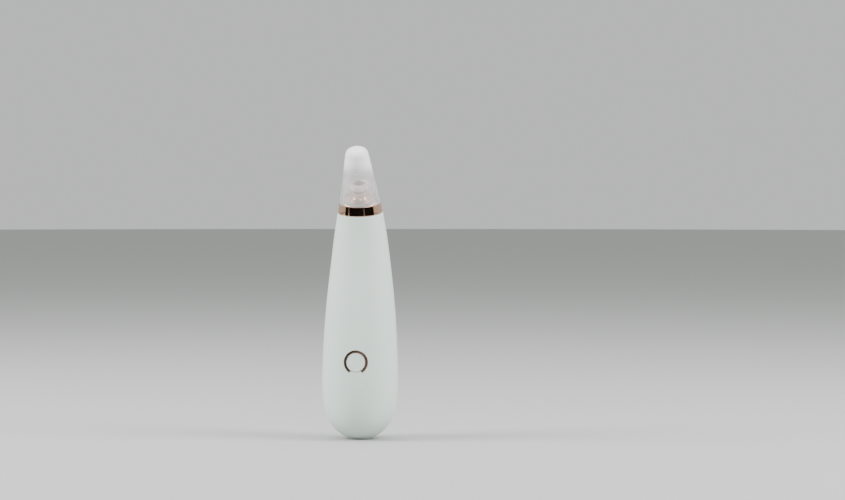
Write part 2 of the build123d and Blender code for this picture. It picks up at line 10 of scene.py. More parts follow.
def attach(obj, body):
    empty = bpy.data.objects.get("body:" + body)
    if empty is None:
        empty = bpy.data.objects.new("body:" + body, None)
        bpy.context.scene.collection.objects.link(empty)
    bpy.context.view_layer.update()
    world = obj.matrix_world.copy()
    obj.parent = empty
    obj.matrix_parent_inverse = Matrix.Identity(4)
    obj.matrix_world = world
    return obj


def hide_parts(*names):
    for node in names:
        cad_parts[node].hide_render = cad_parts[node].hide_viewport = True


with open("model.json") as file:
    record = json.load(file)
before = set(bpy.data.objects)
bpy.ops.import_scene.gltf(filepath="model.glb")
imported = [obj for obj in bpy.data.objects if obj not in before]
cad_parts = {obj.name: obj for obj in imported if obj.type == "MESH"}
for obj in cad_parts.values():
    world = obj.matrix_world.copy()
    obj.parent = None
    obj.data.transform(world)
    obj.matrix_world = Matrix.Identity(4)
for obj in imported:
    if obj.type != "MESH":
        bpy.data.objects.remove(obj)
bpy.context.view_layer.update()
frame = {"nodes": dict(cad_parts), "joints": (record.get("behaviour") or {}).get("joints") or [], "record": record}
mm = 0.001
print("frame loaded:", len(frame["nodes"]), "nodes")


# sums on sockets read as sums
class Val:
    def __init__(self, graph, socket):
        self.graph = graph
        self.socket = socket

    def maths(self, operation, first, second):
        return self.graph.add("ShaderNodeMath", {"operation": operation}, {0: first, 1: second})

    def __add__(self, other):
        return self.maths("ADD", self, other)

    def __sub__(self, other):
        return self.maths("SUBTRACT", self, other)

    def __rsub__(self, other):
        return self.maths("SUBTRACT", other, self)

    def __mul__(self, other):
        return self.maths("MULTIPLY", self, other)

    def __gt__(self, other):
        return self.maths("GREATER_THAN", self, other)

    __radd__ = __add__
    __rmul__ = __mul__


class Graph:
    def __init__(self, name):
        self.material = bpy.data.materials.new(name)
        self.material.use_nodes = True
        self.tree = self.material.node_tree
        self.shader = self.tree.nodes["Principled BSDF"]
        self.place = self.add("ShaderNodeTexCoord", output="Object")

    def add(self, kind, settings=None, inputs=None, output=0):
        node = self.tree.nodes.new(kind)
        for key, value in (settings or {}).items():
            setattr(node, key, value)
        for key, value in (inputs or {}).items():
            self.feed(node.inputs[key], value)
        return Val(self, node.outputs[output])

    def feed(self, socket, value):
        if isinstance(value, Val):
            self.tree.links.new(value.socket, socket)
        else:
            socket.default_value = value

    def noise(self, scale, detail=2.0, roughness=0.5, stretch=(1, 1, 1)):
        mapped = self.add("ShaderNodeMapping", {}, {"Vector": self.place, "Scale": stretch})
        links = {"Vector": mapped, "Scale": scale, "Detail": detail, "Roughness": roughness}
        return self.add("ShaderNodeTexNoise", {}, links)

    def mix(self, factor, first, second):
        # sockets 6 and 7 are the colours of a mix, and output 2 is its colour
        return self.add("ShaderNodeMix", {"data_type": "RGBA"}, {0: factor, 6: first, 7: second}, 2)

    def bump(self, height, distance, strength=1.0, under=None):
        links = {"Height": height, "Distance": distance, "Strength": strength}
        if under:
            links["Normal"] = under
        return self.add("ShaderNodeBump", {}, links)

    def finish(self, **values):
        names = {
            "colour": "Base Color",
            "rough": "Roughness",
            "metal": "Metallic",
            "coat": "Coat Weight",
            "coatRough": "Coat Roughness",
            "clear": "Transmission Weight",
            "ior": "IOR",
            "normal": "Normal",
            "glow": "Subsurface Weight",
            "sheen": "Sheen Weight",
            "specular": "Specular IOR Level",
        }
        for key, value in values.items():
            self.feed(self.shader.inputs[names[key]], value)
        return self.material


def rgb(red, green, blue):
    return (red, green, blue, 1.0)


casingFinish = {
    "light": rgb(0.615, 0.700, 0.650),
    "dark": rgb(0.590, 0.680, 0.628),
    "rough": 0.44,
    "spread": 0.10,
    "grain": 0.010 * mm,
    "coat": 0.15,
}

mouldGrain = 0.01 * mm  # the depth of the usual mould texture
mouldTexture = {
    "cloud": 28.0,
    "grain": 2600.0,
    "wipe": 90.0,
    "wipeStretch": (1.0, 1.0, 0.35),
    "speck": 900.0,
    "speckAbove": 0.735,
}


def moulded(name, light, dark, rough, spread=0.12, grain=mouldGrain, coat=0.0):
    graph = Graph(name)
    cloud = graph.noise(mouldTexture["cloud"], 3.0)
    fine = graph.noise(mouldTexture["grain"], 2.0)
    wipe = graph.noise(mouldTexture["wipe"], 4.0, 0.6, mouldTexture["wipeStretch"])
    speck = graph.noise(mouldTexture["speck"], 1.0) > mouldTexture["speckAbove"]
    colour = graph.mix(cloud, light, dark)
    colour = graph.mix(speck * 0.05, colour, rgb(0.45, 0.45, 0.43))
    roughness = wipe * spread + fine * 0.04 + (rough - spread / 2)
    normal = graph.bump(fine, grain, 0.6, graph.bump(wipe, grain * 2, 0.25))
    return graph.finish(colour=colour, rough=roughness, normal=normal, coat=coat, coatRough=0.12)


plateTexture = {
    "tint": 160.0,
    "polish": 420.0,
    "polishStretch": (1.0, 1.0, 14.0),
    "smear": 240.0,
    "depth": 0.0015 * mm,
}


def plated(name, light, dark, rough, spread, lines=1.0):
    graph = Graph(name)
    tint = graph.noise(plateTexture["tint"], 3.0)
    polish = graph.noise(plateTexture["polish"], 5.0, 0.65, plateTexture["polishStretch"])
    smear = graph.noise(plateTexture["smear"], 3.0, 0.5)
    colour = graph.mix(tint, light, dark)
    roughness = smear * spread + polish * 0.03 + (rough - spread / 2)
    normal = graph.bump(polish, plateTexture["depth"] * lines, 0.35)
    return graph.finish(colour=colour, metal=1.0, rough=roughness, normal=normal)


clearFlow = rgb(0.99, 0.99, 0.985)  # the other tint in the flow of every clear piece
flowScale, flowStretch = 110.0, (1.0, 1.0, 0.4)


def clearMoulding(name, tint, rough, ior, milky, ripple):
    graph = Graph(name)
    flow = graph.noise(flowScale, 2.0, 0.4, flowStretch)
    dust = graph.noise(1500.0, 3.0)
    colour = graph.mix(flow, tint, clearFlow)
    roughness = dust * 0.03 + rough
    normal = graph.bump(flow, ripple * mm, 0.3)
    return graph.finish(colour=colour, rough=roughness, clear=1.0 - milky, ior=ior, normal=normal)


def milkyCapWithPaintedGlare(name, clear, white, low, high):
    # clear plastic, mixed with more and more of a white bloom from one height to another; the white is partly
    # frosting and partly painted reflection of the studio lights, so the cap is painted whiter towards its top
    graph = Graph(name)
    flow = graph.noise(flowScale, 2.0, 0.4, flowStretch)
    height = graph.add("ShaderNodeSeparateXYZ", {}, {"Vector": graph.place}, "Z")
    span = {
        "Value": height,
        "From Min": low[0],
        "From Max": high[0],
        "To Min": low[1],
        "To Max": high[1],
    }
    # the white mix grows with height: frosting and painted reflection together
    bloom = graph.add("ShaderNodeMapRange", {"interpolation_type": "SMOOTHSTEP"}, span)
    normal = graph.bump(flow, 0.005 * mm, 0.3)
    tint = graph.mix(flow, clear, clearFlow)
    graph.finish(colour=tint, rough=0.03, clear=1.0, ior=1.33, normal=normal)
    plastic = Val(graph, graph.shader.outputs[0])
    whiteAndGlareTint = graph.mix(flow, white, rgb(0.97, 0.965, 0.975))
    links = {"Base Color": whiteAndGlareTint, "Roughness": 0.22, "Normal": normal}
    whiteAndPaintedGlare = graph.add("ShaderNodeBsdfPrincipled", {}, links)
    both = graph.add("ShaderNodeMixShader", {}, {0: bloom, 1: plastic, 2: whiteAndPaintedGlare})
    graph.feed(graph.tree.nodes["Material Output"].inputs["Surface"], both)
    return graph.material


def silicone(name, light, dark, rough, clear=0.0, glow=0.0):
    graph = Graph(name)
    cloud = graph.noise(300.0, 3.0)
    bloom = graph.noise(1900.0, 4.0, 0.7)
    roughness = bloom * 0.15 + (rough - 0.07)
    normal = graph.bump(bloom, 0.01 * mm, 0.5)
    colour = graph.mix(cloud, light, dark)
    return graph.finish(colour=colour, rough=roughness, normal=normal, clear=clear, glow=glow, ior=1.41)


def foam(name, light, dark, cell):
    graph = Graph(name)
    links = {"Vector": graph.place, "Scale": cell}
    pores = graph.add("ShaderNodeTexVoronoi", {"feature": "F1"}, links, "Distance")
    fibre = graph.noise(cell * 3, 4.0)
    depth = pores * 0.8 + fibre * 0.4
    normal = graph.bump(depth, 0.15 * mm, 0.9)
    return graph.finish(colour=graph.mix(pores, dark, light), rough=0.95, normal=normal, sheen=0.2)


def machined(name, light, dark, rough, stretch=(1.0, 1.0, 20.0)):
    graph = Graph(name)
    lines = graph.noise(700.0, 6.0, 0.7, stretch)
    stain = graph.noise(180.0, 3.0)
    roughness = lines * 0.18 + (rough - 0.09)
    normal = graph.bump(lines, 0.006 * mm, 0.5)
    return graph.finish(colour=graph.mix(stain, light, dark), metal=1.0, rough=roughness, normal=normal)


def circuitBoard(name):
    graph = Graph(name)
    squares = {"distance": "CHEBYCHEV", "feature": "F1"}
    links = {"Vector": graph.place, "Scale": 420.0}
    tracks = graph.add("ShaderNodeTexVoronoi", squares, links, "Distance")
    track = (tracks > 0.42) * 0.6
    weave = graph.noise(2400.0, 2.0, 0.5, (1.0, 1.0, 1.0))
    colour = graph.mix(track, rgb(0.010, 0.085, 0.035), rgb(0.035, 0.19, 0.075))
    normal = graph.bump(tracks, 0.02 * mm, 0.4, graph.bump(weave, 0.005 * mm, 0.3))
    return graph.finish(colour=colour, rough=weave * 0.1 + 0.27, coat=0.4, coatRough=0.2, normal=normal)


def windings(name, light, dark):
    graph = Graph(name)
    stretch = {"Vector": graph.place, "Scale": (900.0, 900.0, 5200.0)}
    mapped = graph.add("ShaderNodeMapping", {}, stretch)
    links = {"Vector": mapped, "Scale": 1.0, "Distortion": 0.6}
    turns = graph.add("ShaderNodeTexWave", {"bands_direction": "Z"}, links, "Fac")
    normal = graph.bump(turns, 0.08 * mm, 0.8)
    colour = graph.mix(turns, dark, light)
    return graph.finish(colour=colour, metal=0.85, rough=turns * 0.1 + 0.28, normal=normal)


finishes = {
    "casing_white": moulded("casingWhite", **casingFinish),
    "silicone_white": silicone("footSilicone", rgb(0.68, 0.69, 0.66), rgb(0.60, 0.61, 0.58), 0.62),
    "rose_gold": plated("mirrorRoseGold", rgb(0.88, 0.56, 0.40), rgb(0.82, 0.48, 0.33), 0.075, 0.03),
    "rose_gold_satin": plated(
        "satinRoseGold",
        rgb(0.90, 0.56, 0.44),
        rgb(0.84, 0.48, 0.36),
        0.22,
        0.08,
        3.0,
    ),
    "clear_cap": milkyCapWithPaintedGlare(
        "clearCap",
        rgb(0.99, 0.985, 0.99),
        rgb(0.99, 0.98, 0.99),
        (0.1575, 0.20),
        (0.166, 0.88),
    ),
    "clear_probe": clearMoulding("clearProbe", rgb(0.97, 0.90, 0.87), 0.0, 1.14, 0.07, 0.004),
    "probe_silicone": silicone("probeSilicone", rgb(1.0, 0.84, 0.73), rgb(0.97, 0.83, 0.74), 0.34),
    "sponge": foam("filterSponge", rgb(0.32, 0.21, 0.18), rgb(0.05, 0.03, 0.025), 2200.0),
    "seal_black": silicone("sealRubber", rgb(0.025, 0.025, 0.026), rgb(0.04, 0.04, 0.042), 0.5),
    "rubber_grey": silicone("pumpRubber", rgb(0.12, 0.125, 0.13), rgb(0.09, 0.09, 0.095), 0.55),
    "board_green": circuitBoard("boardGreen"),
    "chip_black": moulded("chipEpoxy", rgb(0.02, 0.02, 0.022), rgb(0.03, 0.03, 0.03), 0.5, 0.1),
    "led_clear": clearMoulding("ledEpoxy", rgb(0.98, 0.96, 0.80), 0.08, 1.5, 0.2, 0.02),
    "switch_black": moulded("switchNylon", rgb(0.03, 0.03, 0.03), rgb(0.045, 0.045, 0.045), 0.45),
    "steel": machined("zincSteel", rgb(0.62, 0.63, 0.64), rgb(0.50, 0.51, 0.53), 0.34),
    "steel_bright": machined("groundSteel", rgb(0.75, 0.75, 0.76), rgb(0.62, 0.62, 0.63), 0.22),
    "cell_sleeve": moulded(
        "cellSleeve",
        rgb(0.02, 0.10, 0.28),
        rgb(0.015, 0.08, 0.23),
        0.3,
        0.1,
        coat=0.5,
    ),
    "nickel": machined("nickelPlate", rgb(0.72, 0.69, 0.64), rgb(0.60, 0.57, 0.52), 0.25),
    "frame_grey": moulded(
        "frameGrey",
        rgb(0.05, 0.053, 0.056),
        rgb(0.038, 0.04, 0.042),
        0.52,
        0.12,
        0.015 * mm,
    ),
    "nylon_white": moulded("naturalNylon", rgb(0.66, 0.65, 0.58), rgb(0.60, 0.59, 0.52), 0.42),
    "nylon_black": moulded("blackNylon", rgb(0.022, 0.022, 0.024), rgb(0.032, 0.032, 0.034), 0.48),
    "bronze": machined(
        "sinteredBronze",
        rgb(0.50, 0.31, 0.14),
        rgb(0.38, 0.23, 0.11),
        0.5,
        (1.0, 1.0, 1.0),
    ),
    "magnet": machined(
        "ferrite",
        rgb(0.10, 0.10, 0.105),
        rgb(0.07, 0.07, 0.075),
        0.55,
        (1.0, 1.0, 1.0),
    ),
    "carbon": machined(
        "brushCarbon",
        rgb(0.10, 0.09, 0.085),
        rgb(0.06, 0.055, 0.05),
        0.6,
        (1.0, 1.0, 1.0),
    ),
    "laminations": windings("laminations", rgb(0.42, 0.42, 0.43), rgb(0.16, 0.16, 0.165)),
    "copper": windings("enamelledCopper", rgb(0.72, 0.30, 0.12), rgb(0.30, 0.10, 0.035)),
    "foam_black": foam("sleeveFoam", rgb(0.06, 0.06, 0.062), rgb(0.015, 0.015, 0.016), 1300.0),
    "hose_clear": silicone("hoseSilicone", rgb(0.72, 0.71, 0.65), rgb(0.66, 0.65, 0.58), 0.4, 0.3, 0.1),
    "wire_red": moulded("redInsulation", rgb(0.36, 0.012, 0.012), rgb(0.28, 0.010, 0.010), 0.4, 0.1),
    "wire_black": moulded(
        "blackInsulation",
        rgb(0.015, 0.015, 0.015),
        rgb(0.022, 0.022, 0.022),
        0.4,
        0.1,
    ),
}
slotOf = {part["node"]: part["material_slot"] for part in frame["record"]["subparts"]}
for node, obj in frame["nodes"].items():
    obj.data.materials.clear()
    obj.data.materials.append(finishes[slotOf[node]])
print("finishes made:", len(finishes))


def clampedSpline(points, startSlope, endSlope, count):
    # a smooth curve through a few points, with its direction given at both ends
    knots = np.array(points, float)
    runs = np.linalg.norm(np.diff(knots, axis=0), axis=1)
    size = len(knots)
    system, right = np.eye(size), np.zeros_like(knots)
    right[0] = np.array(startSlope, float) / np.linalg.norm(startSlope)
    right[-1] = np.array(endSlope, float) / np.linalg.norm(endSlope)
    steps = np.diff(knots, axis=0) / runs[:, None]
    for k in range(1, size - 1):
        before, after = runs[k - 1], runs[k]
        system[k, k - 1 : k + 2] = after, 2 * (before + after), before
        right[k] = 3 * (after * steps[k - 1] + before * steps[k])
    slopes = np.linalg.solve(system, right)
    starts = np.concatenate([[0], np.cumsum(runs)])
    curve = []
    for t in np.linspace(0, starts[-1], count):
        k = min(int(np.searchsorted(starts, t, "right")) - 1, size - 2)
        u, h = (t - starts[k]) / runs[k], runs[k]
        curve.append(
            (2 * u**3 - 3 * u**2 + 1) * knots[k]
            + (u**3 - 2 * u**2 + u) * h * slopes[k]
            + (3 * u**2 - 2 * u**3) * knots[k + 1]
            + (u**3 - u**2) * h * slopes[k + 1]
        )
    return np.array(curve)


def rounded(corners, segments=6):
    # corners are (radius, height) or (radius, height, rounding)
    points = []
    for k, corner in enumerate(corners):
        here = Vector(corner[:2])
        bend = corner[2] if len(corner) > 2 else 0
        if not bend:
            points.append(here)
            continue
        before = (Vector(corners[k - 1][:2]) - here).normalized()
        after = (Vector(corners[(k + 1) % len(corners)][:2]) - here).normalized()
        angle = before.angle(after)
        reach = bend / math.tan(angle / 2)
        centre = here + (before + after).normalized() * bend / math.sin(angle / 2)
        first, last = here + before * reach - centre, here + after * reach - centre
        turn = math.atan2(first.x * last.y - first.y * last.x, first.dot(last))
        for step in range(segments + 1):
            part = turn * step / segments
            points.append(centre + Matrix.Rotation(part, 2) @ first)
    return points


def spun(outline, closed=True, steps=128, angle=2 * math.pi):
    # an outline of radius and height in millimetres, turned about the vertical
    bm = bmesh.new()
    verts = [bm.verts.new((radius * mm, 0, height * mm)) for radius, height in outline]
    pairs = zip(verts, verts[1:] + verts[:1]) if closed else zip(verts, verts[1:])
    edges = [bm.edges.new(pair) for pair in pairs]
    whole = math.isclose(abs(angle), 2 * math.pi)
    bmesh.ops.spin(
        bm,
        geom=verts + edges,
        cent=(0, 0, 0),
        axis=(0, 0, 1),
        angle=angle,
        steps=steps,
        use_merge=whole,
        use_duplicate=False,
    )
    bmesh.ops.remove_doubles(bm, verts=bm.verts, dist=1e-7)
    return bm


def tilted(origin, axis):
    # a frame whose height runs along the axis and whose X stays level
    up = Vector(axis).normalized()
    side = Vector((1, 0, 0))
    return Matrix.Translation(origin) @ Matrix((side, up.cross(side), up)).transposed().to_4x4()


def place(bm, matrix):
    bmesh.ops.transform(bm, matrix=matrix, verts=bm.verts)
    return bm


def meshPiece(bm, name, body, slot, *nodes, sharp=35, finish=None):
    return dress(scratch(bm, name), body, slot, *nodes, sharp=sharp, finish=finish)


def dress(piece, body, slot, *nodes, sharp=35, finish=None):
    piece.data.materials.clear()
    piece.data.materials.append(finish or finishes[slot])
    for face in piece.data.polygons:
        face.use_smooth = True
    piece.data.set_sharp_from_angle(angle=math.radians(sharp))
    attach(piece, body)
    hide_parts(*nodes)
    return piece


def scratch(bm, name):
    bmesh.ops.recalc_face_normals(bm, faces=bm.faces)
    mesh = bpy.data.meshes.new(name)
    bm.to_mesh(mesh)
    bm.free()
    obj = bpy.data.objects.new(name, mesh)
    bpy.context.scene.collection.objects.link(obj)
    return obj


def carve(body, cutters):
    # takes the cutters out of the body, one after another, and keeps only the result
    for cutter in cutters:
        cut = body.modifiers.new("cut", "BOOLEAN")
        cut.operation = "DIFFERENCE"
        cut.solver = "EXACT"
        cut.object = cutter
    bpy.context.view_layer.update()
    result = bpy.data.meshes.new_from_object(body.evaluated_get(bpy.context.evaluated_depsgraph_get()))
    body.modifiers.clear()
    body.data = result
    for cutter in cutters:
        bpy.data.objects.remove(cutter)
    return body


casing = {
    "belly": 34.0,
    "wall": 2.0,
    "padRadius": 6.23,
    "padDepth": 1.3,
    "padStep": 0.05,
    "floor": 1.9,
    "floorRise": 0.4,
    "seamRound": 0.12,
    "bowl": [(6.0, 0), (10.6, 2.3), (14.3, 5.2), (17.8, 9.2), (20.6, 15.2), (22.1, 22.8), (22.8, 34.0)],
    "taper": [(22.8, 0), (22.3, 20.0), (20.35, 49.0), (17.7, 73.0), (14.95, 94.0), (13.6, 102.4)],
    "centreLine": [(0, 34.0), (2.2, 80.0), (3.0, 108.0), (0.3, 136.2)],
    "topTilt": 12.5,
    "steps": 96,
    "neckBore": 10.0,
    "neckDepth": 1.5,
    "topChamfer": (0.25, 0.3),
    "portHeight": 19.3,
    "portSize": (8.6, 3.5, 1.4),
    "ventHeight": 101.0,
    "ventRing": 3.0,
    "ventRadius": 0.65,
    "ventCount": 6,
    "bowlStart": (0.9, 0.44),
    "taperEnd": (-0.15, 0.99),
    "centreSteps": 400,
    "bowlSteps": 40,
    "taperSteps": 64,
}
tilt = math.radians(casing["topTilt"])
topSlope = (-math.sin(tilt), math.cos(tilt))
centreLine = clampedSpline(casing["centreLine"], (0, 1), topSlope, casing["centreSteps"])
centreRuns = np.concatenate([[0], np.cumsum(np.linalg.norm(np.diff(centreLine, axis=0), axis=1))])
centreSlopes = np.gradient(centreLine, centreRuns, axis=0)
bowlCurve = clampedSpline(casing["bowl"], casing["bowlStart"], (0, 1), casing["bowlSteps"])
taperCurve = clampedSpline(casing["taper"], (0, 1), casing["taperEnd"], casing["taperSteps"])


def bend(point):
    # from the straight casing to the one that follows its centre line
    above = point.z / mm - casing["belly"]
    if above <= 0:
        return point
    y, z = (np.interp(above, centreRuns, centreLine[:, k]) * mm for k in (0, 1))
    slopeY, slopeZ = (np.interp(above, centreRuns, centreSlopes[:, k]) for k in (0, 1))
    beyond = max(above - centreRuns[-1], 0) * mm
    y += point.y * slopeZ + beyond * slopeY
    z += beyond * slopeZ - point.y * slopeY
    return Vector((point.x, y, z))


def halfShell(name, side):
    padRadius, neckBore, floor = casing["padRadius"], casing["neckBore"], casing["floor"]
    inset, drop = casing["topChamfer"]
    outer = [(r, z) for r, z in bowlCurve if r > padRadius]
    padTop = outer[0][1] + casing["padStep"]
    outer = [(padRadius, casing["padDepth"]), (padRadius, padTop)] + outer[1:]
    outer += [(r, z + casing["belly"]) for r, z in taperCurve[1:]]
    top = outer.pop()
    outer += [(top[0], top[1] - drop), (top[0] - inset, top[1])]
    inner = [(neckBore, top[1]), (neckBore, top[1] - casing["neckDepth"])]
    slopes = np.gradient(np.array(outer), axis=0)
    for (r, z), (slopeR, slopeZ) in zip(outer[-4:2:-1], slopes[-4:2:-1]):
        length = math.hypot(slopeR, slopeZ)
        inner.append((r - casing["wall"] * slopeZ / length, z + casing["wall"] * slopeR / length))
    inner = [p for p in inner if p[1] > floor] + [(padRadius, floor + casing["floorRise"])]
    bm = spun(outer + inner, True, casing["steps"], side * math.pi)
    ends = [e for e in bm.edges if e.is_boundary]
    halves = [[e for e in ends if all(v.co.x * sign > 0 for v in e.verts)] for sign in (-1, 1)]
    for half in halves:
        bmesh.ops.contextual_create(bm, geom=half)
    bmesh.ops.bevel(
        bm,
        geom=ends,
        affect="EDGES",
        offset=casing["seamRound"] * mm,
        segments=2,
        profile=0.5,
        material=-1,
        clamp_overlap=True,
    )
    for vert in bm.verts:
        vert.co = bend(vert.co)
    return scratch(bm, name)


cutterSizes = {"length": 24, "reach": 22, "slotLength": 22, "slotReach": 25}


def drill(radius, x, z, side, segments=24):
    # a round cutter along Y, through the front (-1) or the back (1) wall
    bm = bmesh.new()
    width, length = radius * mm, cutterSizes["length"] * mm
    bmesh.ops.create_cone(
        bm, cap_ends=True, segments=segments, radius1=width, radius2=width, depth=length
    )
    turn = Matrix.Rotation(math.pi / 2, 4, "X")
    return place(bm, Matrix.Translation((x * mm, side * cutterSizes["reach"] * mm, z * mm)) @ turn)


def slotCutter(width, height, radius, z):
    bm = bmesh.new()
    bmesh.ops.create_cube(bm, size=1.0)
    length = cutterSizes["slotLength"] * mm
    place(bm, Matrix.Diagonal((width * mm, length, height * mm, 1)))
    along = [e for e in bm.edges if abs((e.verts[0].co - e.verts[1].co).y) > length / 2]
    bmesh.ops.bevel(
        bm,
        geom=along,
        affect="EDGES",
        offset=radius * mm,
        segments=6,
        profile=0.5,
        material=-1,
        clamp_overlap=True,
    )
    return place(bm, Matrix.Translation((0, cutterSizes["slotReach"] * mm, z * mm)))


button = {
    "height": 47.3,
    "radius": 5.65,
    "bore": 5.85,
    "ringOuter": 7.22,
    "ringInner": 5.88,
    "ringProud": 0.15,
    "ringDepth": 1.15,
    "ringBevel": 0.1,
    "gap": 32.0,
    "sunk": 0.06,
    "depth": 2.0,
    "edgeRound": 0.45,
    "dish": 0.12,
    "dishSteps": 8,
    "rebateGap": (0.03, 0.2),
    "rebate": (-1.2, 1.5),
}


def surfaceAhead(x, z):
    # how far forward of the centre plane the casing's skin is, at x and z
    above = z - casing["belly"]
    radius = np.interp(above, taperCurve[:, 1], taperCurve[:, 0])
    shift = np.interp(above, centreLine[:, 1] - casing["belly"], centreLine[:, 0])
    return math.sqrt(radius**2 - x**2) - shift


def onSkin(bm):
    # wraps a flat shape on to the casing: its height becomes the height above the skin
    for vert in bm.verts:
        x, up = vert.co.x / mm, vert.co.y / mm
        ahead = surfaceAhead(x, button["height"] + up) + vert.co.z / mm
        vert.co = Vector((x, -ahead, button["height"] + up)) * mm
    return bm


def ringSector(outer, inner, low, high, bevel):
    gap = math.radians(button["gap"])
    corners = [(inner, low), (outer, low), (outer, high, bevel), (inner, high, bevel)]
    outline = rounded(corners, 4) if bevel else [c[:2] for c in corners]
    bm = spun(outline, True, 96, 2 * math.pi - 2 * gap)
    for end in (0, 1):
        bounds = [e for e in bm.edges if e.is_boundary]
        angles = [math.atan2(e.verts[0].co.y, e.verts[0].co.x) for e in bounds]
        oneEnd = [e for e, a in zip(bounds, angles) if abs(a - angles[0]) < gap / 10]
        bmesh.ops.contextual_create(bm, geom=oneEnd)
    start = Matrix.Rotation(-math.pi / 2 + gap, 4, "Z")
    return onSkin(place(bm, start))


def makeButton():
    outer, inner = button["ringOuter"], button["ringInner"]
    ring = ringSector(outer, inner, -button["ringDepth"], button["ringProud"], button["ringBevel"])
    # the ring's rose gold is given a dark brown colour: painted reflection of the dark surroundings
    bronze = plated("ringRoseGoldPaintedDark", rgb(0.50, 0.31, 0.23), rgb(0.38, 0.22, 0.16), 0.26, 0.08)
    meshPiece(ring, "buttonRing", "casing", "rose_gold_satin", "button_bezel", finish=bronze)
    radius, top, steps = button["radius"], -button["sunk"], button["dishSteps"]
    outline = [(0, top - button["dish"])]
    for k in range(1, steps):
        outline.append((radius * k / steps, top - button["dish"] * (1 - (k / steps) ** 2)))
    edge = [(0, top), (radius, top, button["edgeRound"]), (radius, -button["depth"])]
    outline += rounded(edge, 5)[1:]
    cap = onSkin(spun(outline, False, 96))
    rims = [e for e in cap.edges if e.is_boundary]
    bmesh.ops.contextual_create(cap, geom=rims)
    meshPiece(cap, "powerButton", "button", "casing_white", "button_cap")


head = {
    "collarCentre": (0, 0.3, 136.2),
    "collarLength": 5.6,
    "collarBottom": 13.5,
    "collarTop": 12.45,
    "collarBore": 11.45,
    "collarRound": 0.32,
    "collarLift": 0.02,
    "seat": 2.8,
    "capRadius": 12.3,
    "capTaper": 0.165,
    "capLength": 36.3,
    "capWall": 1.0,
    "capCrown": 1.3,
    "capRound": 4.0,
    "capRoot": -4,
    "capGap": 0.08,
}
up = Vector((0, -math.sin(tilt), math.cos(tilt)))
collarFrame = tilted(Vector(head["collarCentre"]) * mm, up)
headAxis = Vector(next(j["axis"] for j in frame["joints"] if j["name"] == "probe_pull"))
headOrigin = collarFrame @ Vector((0, 0, head["collarLength"] * mm))
headFrame = tilted(headOrigin, headAxis)
seatFrame = headFrame @ Matrix.Translation((0, 0, head["seat"] * mm))


def makeCollar():
    edge, lift, length = head["collarRound"], head["collarLift"], head["collarLength"]
    corners = [
        (head["collarBore"], lift),
        (head["collarBottom"], lift, edge),
        (head["collarTop"], length, edge),
        (head["collarBore"], length),
    ]
    bm = place(spun(rounded(corners, 5), True, 160), collarFrame)
    meshPiece(bm, "collarRing", "casing", "rose_gold", "collar_ring")


def trimAtCollar(bm, gap):
    # cuts away what is below the collar's top edge, and gives back the edges of the cut
    level = headOrigin + up * gap * mm
    geom = list(bm.verts) + list(bm.edges) + list(bm.faces)
    bmesh.ops.bisect_plane(bm, geom=geom, dist=1e-8, plane_co=level, plane_no=up, clear_inner=True)
    return [e for e in bm.edges if e.is_boundary]


def makeCap():
    def wallAt(radius, height):
        return radius - head["capTaper"] * height

    outerTop, innerTop = head["capLength"], head["capLength"] - head["capCrown"]
    root = head["capRoot"]
    innerBase = head["capRadius"] - head["capWall"]
    corners = [
        (0, innerTop),
        (wallAt(innerBase, innerTop), innerTop, head["capRound"] - head["capWall"]),
        (wallAt(innerBase, root), root),
        (wallAt(head["capRadius"], root), root),
        (wallAt(head["capRadius"], outerTop), outerTop, head["capRound"]),
        (0, outerTop),
    ]
    bm = place(spun(rounded(corners, 12), False, 144), headFrame)
    rim = trimAtCollar(bm, head["capGap"])
    bmesh.ops.bridge_loops(bm, edges=rim)
    meshPiece(bm, "dustCap", "cap", "clear_cap", "dust_cap", sharp=50)


seat = {
    "boss": 11.18,
    "bossRound": 0.3,
    "bossRoot": -7,
    "step": 8.6,
    "stepHeight": 0.9,
    "stepRound": 0.12,
    "groove": (0.1, 0.8, 8.25),  # its bottom, its top and its radius
    "grooveRound": 0.03,
    "plugGap": (0.05, 0.02),  # to the collar's bore and below its top
    "plugRound": 0.2,
    "plugDepth": 2,
}


def makeSeat():
    low, high, depth = seat["groove"]
    step, edge, root = seat["step"], seat["grooveRound"], seat["bossRoot"]
    base = seat["boss"] - head["capTaper"] * head["seat"]
    corners = [
        (step, seat["stepHeight"], seat["stepRound"]),
        (step, high, edge),
        (depth, high),
        (depth, low),
        (step, low, edge),
        (step, 0),
        (base, 0, seat["bossRound"]),
        (base - head["capTaper"] * root, root),
    ]
    outline = [(0, seat["stepHeight"])] + rounded(corners, 4)[:-1] + [corners[-1]]
    bm = place(spun(outline, False, 128), seatFrame)
    bmesh.ops.contextual_create(bm, geom=trimAtCollar(bm, 0.0))
    sideGap, topGap = seat["plugGap"]
    plugTop, plugRadius = head["collarLength"] - topGap, head["collarBore"] - sideGap
    plugFoot = plugTop - seat["plugDepth"]
    plug = [
        (0, plugTop),
        (plugRadius, plugTop, seat["plugRound"]),
        (plugRadius, plugFoot),
        (0, plugFoot),
    ]
    disc = place(spun(rounded(plug), False, 96), collarFrame)
    spare = bpy.data.meshes.new("plug")
    disc.to_mesh(spare)
    disc.free()
    bm.from_mesh(spare)
    meshPiece(bm, "headSeat", "casing", "rose_gold_satin", "head_base", sharp=30)


spigot = {
    "recess": 2.05,
    "recessDepth": 2.0,
    "recessRound": 0.18,
    "length": 5.4,
    "radius": 4.7,
    "topRound": 0.45,
    "sink": 0.02,
    "flank": [  # radius, height above the seat's step and rounding, from the top down
        (4.7, 3.5, 0.15),
        (4.2, 3.3, 0.12),
        (4.2, 2.8, 0.12),
        (4.7, 2.6, 0.2),
        (4.7, 2.0, 0.2),
        (4.3, 1.7, 0.3),
        (5.0, 0.8, 0.6),
        (6.2, 0.3, 0.12),
    ],
}


